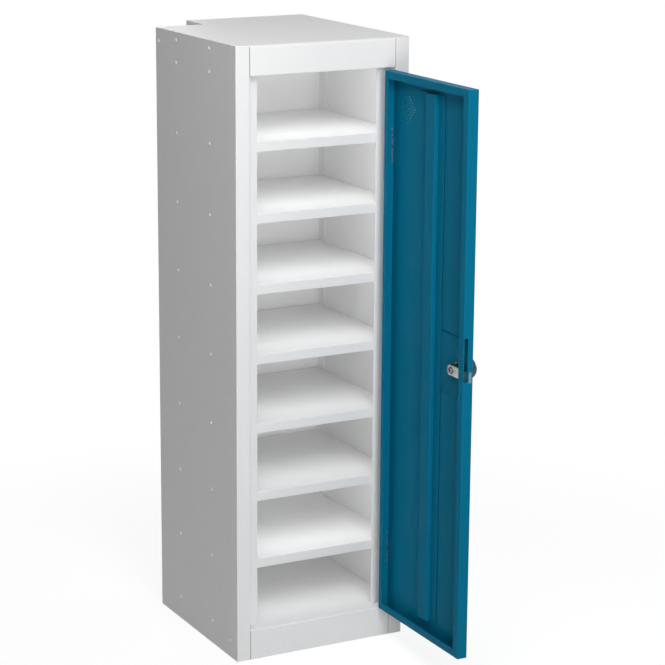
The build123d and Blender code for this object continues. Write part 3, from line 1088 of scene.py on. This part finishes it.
    def build_cam(self) -> None:
        """Models the cam: a plate with a square tip and a rounded tail."""
        low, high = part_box("lock_cam")
        cam = Bench.block("lock_cam_plate", low, high)
        ends = ((low.y, self.tip_radius), (high.y, self.tail_radius))
        for end, radius in ends:
            with Bench.editing(cam):
                bpy.ops.mesh.select_mode(type="EDGE")
                mesh = bmesh.from_edit_mesh(cam.data)
                for edge in mesh.edges:
                    first, second = (vertex.co for vertex in edge.verts)
                    at_end = max(abs(first.y - end), abs(second.y - end)) < TOUCHING
                    edge.select_set(at_end and abs(first.x - second.x) > TOUCHING)
                bmesh.update_edit_mesh(cam.data)
                bpy.ops.mesh.bevel(offset=radius, segments=6, affect="EDGES")
        Bench.break_edges(cam, self.cam_break)
        Bench.smooth(cam)
        # Painted shade darkens the cam's tip, where it runs through the slot at the door's edge.
        tip_shaded = TipShadedPlating.marked(ZINC, "tip_shaded_zinc_plate", roughness=0.34, tip=low.y)
        finished(cam, tip_shaded, Body.LOCK, "lock_cam")

    def build_screw(self) -> None:
        """Models the screw: a rounded head with a hexagonal socket."""
        low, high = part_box("cam_screw")
        radius = self.screw_radius
        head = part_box("lock_cam")[0].x
        steps = [
            (low.x, radius - 1.5 * MM),
            (low.x + 0.25 * MM, radius - 0.7 * MM),
            (low.x + 0.9 * MM, radius),
            (head, radius),
            (head, self.shank_radius),
            (high.x, self.shank_radius),
        ]
        screw = Bench.turned("socket_cam_screw", self.axis, steps, 48)
        socket = [(low.x - MM, self.socket_radius), (low.x + self.socket_depth, self.socket_radius)]
        Bench.cut(screw, Bench.turned("socket_cutter", self.axis, socket, 6))
        Bench.smooth(screw)
        finished(screw, DULL_ZINC, Body.LOCK, "cam_screw")


@dataclass(frozen=True)
class Lamp:
    """A soft rectangular lamp that the camera looks through."""

    name: str
    place: Point
    target: Point
    width: float
    height: float
    power: float

    def hang(self) -> None:
        """Adds the lamp and points it at its target."""
        data = bpy.data.lights.new(self.name, "AREA")
        data.shape = "RECTANGLE"
        data.size = self.width
        data.size_y = self.height
        data.energy = self.power
        lamp = bpy.data.objects.new(self.name, data)
        lamp.location = self.place
        aim = Vector(self.target) - Vector(self.place)
        lamp.rotation_euler = aim.to_track_quat("-Z", "Y").to_euler()
        lamp.visible_camera = False
        bpy.context.scene.collection.objects.link(lamp)


@dataclass
class Studio:
    """A white sweep of floor, an even surround, soft lamps, and small lamps in the compartments."""

    surround: float = 0.12
    floor_reach: float = 60.0
    floor_colour: float = 0.62
    shade_colour: float = 0.28
    shade_lift: float = 0.82
    shade_start: float = 0.5
    shade_end: float = 1.3
    lamps: tuple[Lamp, ...] = (
        Lamp("front_lamp", (-0.26, -1.48, 1.6), (0.0, 0.05, 0.6), 0.6, 0.6, 11.6),
        Lamp("left_lamp", (-0.64, -0.77, 1.7), (0.0, 0.05, 0.6), 0.6, 0.6, 4.7),
        Lamp("low_lamp", (-0.5, -2.2, 0.5), (0.0, 0.05, 0.3), 0.8, 0.8, 14.2),
        Lamp("top_lamp", (0.0, 0.2, 3.2), (0.0, 0.05, 0.5), 1.1, 1.1, 9.2),
        Lamp("right_side_lamp", (2.9, 0.9, 0.8), (0.0, 0.1, 0.5), 1.4, 1.4, 22.0),
        Lamp("back_lamp", (0.5, 3.3, 0.9), (0.0, 0.2, 0.5), 1.4, 1.4, 30.0),
    )
    shelf_lamp_width: float = 270 * MM
    shelf_lamp_depth: float = 20 * MM
    shelf_lamp_back: float = 40 * MM
    shelf_lamp_drop: float = 9 * MM
    shelf_lamp_aim: float = 140 * MM
    shelf_lamp_powers: tuple[float, ...] = (0.135, 0.122, 0.112, 0.1, 0.085, 0.083, 0.111, 0.08)

    def build(self) -> None:
        """Builds the floor, the surround and the lamps."""
        self.build_floor()
        self.build_surround()
        for lamp in self.lamps:
            lamp.hang()
        self.hang_shelf_lamps()

    @staticmethod
    def seen(graph: Graph) -> Wire:
        """Gives 1 for what the camera, a mirror or glass sees, and 0 for light on its way."""
        node = graph.node("ShaderNodeLightPath", {}, {})
        camera, glossy, clear = (
            Wire(graph, node.outputs[name])
            for name in ("Is Camera Ray", "Is Glossy Ray", "Is Transmission Ray")
        )
        return (camera + glossy + clear).at_most(1.0)

    def build_floor(self) -> None:
        """Lays the floor, which is white to the eye and keeps the locker's shadow."""
        Bench.clear()
        bpy.ops.mesh.primitive_plane_add(size=self.floor_reach)
        floor = Bench.named("studio_floor")
        material = bpy.data.materials.new("studio_floor")
        material.use_nodes = True
        graph = Graph(material.node_tree)
        pale, shade = (
            graph.node("ShaderNodeBsdfDiffuse", {}, {"Color": rgba((level,) * 3)}).outputs[0]
            for level in (self.floor_colour, self.shade_colour)
        )
        lift, white = (
            graph.node("ShaderNodeEmission", {}, {"Strength": level}).outputs[0]
            for level in (self.shade_lift, 1.0)
        )
        near = graph.node("ShaderNodeAddShader", {}, {0: shade, 1: lift}).outputs[0]
        x, y, _ = graph.along(graph.place())
        far = (x * x + y * y).ramp(self.shade_start**2, self.shade_end**2)
        eye = graph.node("ShaderNodeMixShader", {}, {0: far, 1: near, 2: white}).outputs[0]
        mixed = graph.node("ShaderNodeMixShader", {}, {0: self.seen(graph), 1: pale, 2: eye})
        graph.node("ShaderNodeOutputMaterial", {}, {"Surface": mixed.outputs[0]})
        floor.data.materials.append(material)

    def build_surround(self) -> None:
        """Gives the world an even light, and white where it is seen."""
        world = bpy.data.worlds.new("studio_surround")
        world.use_nodes = True
        bpy.context.scene.world = world
        graph = Graph(world.node_tree)
        light, white = (
            graph.node("ShaderNodeBackground", {}, {"Color": rgba((1, 1, 1)), "Strength": level})
            for level in (self.surround, 1.0)
        )
        mixed = graph.node(
            "ShaderNodeMixShader",
            {},
            {0: self.seen(graph), 1: light.outputs[0], 2: white.outputs[0]},
        )
        graph.node("ShaderNodeOutputWorld", {}, {"Surface": mixed.outputs[0]})

    def hang_shelf_lamps(self) -> None:
        """Hangs a small lamp over each compartment, out of sight behind the lip above it."""
        first, second = (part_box(f"shelf_{number}")[1].z for number in (1, 2))
        pitch = first - second
        for number, power in enumerate(self.shelf_lamp_powers):
            cover = first + pitch * (1 - number)
            place = (0.0, self.shelf_lamp_back, cover - self.shelf_lamp_drop)
            target = (0.0, self.shelf_lamp_aim, cover - pitch)
            size = (self.shelf_lamp_width, self.shelf_lamp_depth)
            Lamp(f"shelf_lamp_{number + 1}", place, target, *size, power).hang()


@dataclass
class Viewpoint:
    """The camera, where the photograph was taken from."""

    place: Point = (-1.645, -3.095, 1.409)
    turned_right: float = 26.54
    tilted_down: float = 13.76
    focal_pixels: float = 2260.2
    frame_pixels: float = 665.0
    middle_pixels: tuple[float, float] = (266.9, 322.9)
    sensor: float = 36.0
    far_limit: float = 200.0

    def build(self) -> None:
        """Sets up the camera."""
        data = bpy.data.cameras.new("viewpoint")
        data.sensor_fit = "HORIZONTAL"
        data.sensor_width = self.sensor
        data.lens = self.sensor * self.focal_pixels / self.frame_pixels
        half = self.frame_pixels / 2
        data.shift_x = (half - self.middle_pixels[0]) / self.frame_pixels
        data.shift_y = (self.middle_pixels[1] - half) / self.frame_pixels
        data.clip_end = self.far_limit
        camera = bpy.data.objects.new("viewpoint", data)
        camera.location = self.place
        camera.rotation_euler = (
            math.radians(90 - self.tilted_down),
            0.0,
            math.radians(-self.turned_right),
        )
        bpy.context.scene.collection.objects.link(camera)
        bpy.context.scene.camera = camera


def main() -> None:
    """Builds the pieces in order."""
    logging.basicConfig(level=logging.INFO, format="%(name)s: %(message)s")
    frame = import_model()
    nodes = frame["nodes"]
    bpy.context.scene.view_settings.view_transform = "Standard"
    Cabinet(nodes).dress()
    RivetRows(nodes).build()
    Door(nodes).build()
    Hinges(nodes).dress()
    CamLock().build()
    Studio().build()
    Viewpoint().build()


if __name__ == "__main__":
    main()
